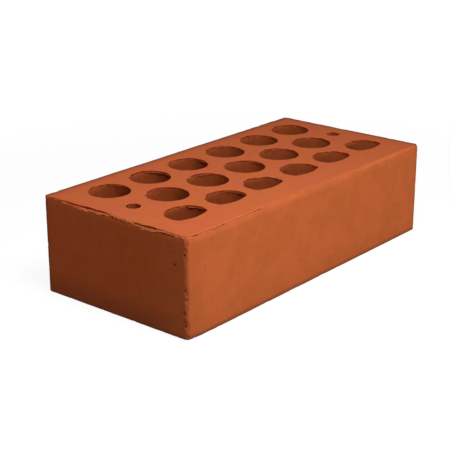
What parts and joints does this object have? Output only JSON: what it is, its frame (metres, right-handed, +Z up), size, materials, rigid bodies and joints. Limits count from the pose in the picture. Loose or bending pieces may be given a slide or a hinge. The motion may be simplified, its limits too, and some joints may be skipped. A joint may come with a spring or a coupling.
{
  "type": "perforated clay brick",
  "caption": "Single-format perforated clay facing brick with staggered round cores, the front row cut short by a thicker face shell.",
  "frame": {"origin": "centre of the lower bed, halfway along the length and the width, on the surface that the brick rests on", "axes": "+X along the length from header to header, +Y from the face to the rear side, +Z up through the beds, along the cores"},
  "size_m": [0.25, 0.12, 0.065],
  "materials": {
    "fired_clay": "matte"
  },
  "bodies": {
    "root": {"brick": "fired_clay"}
  },
  "joints": []
}
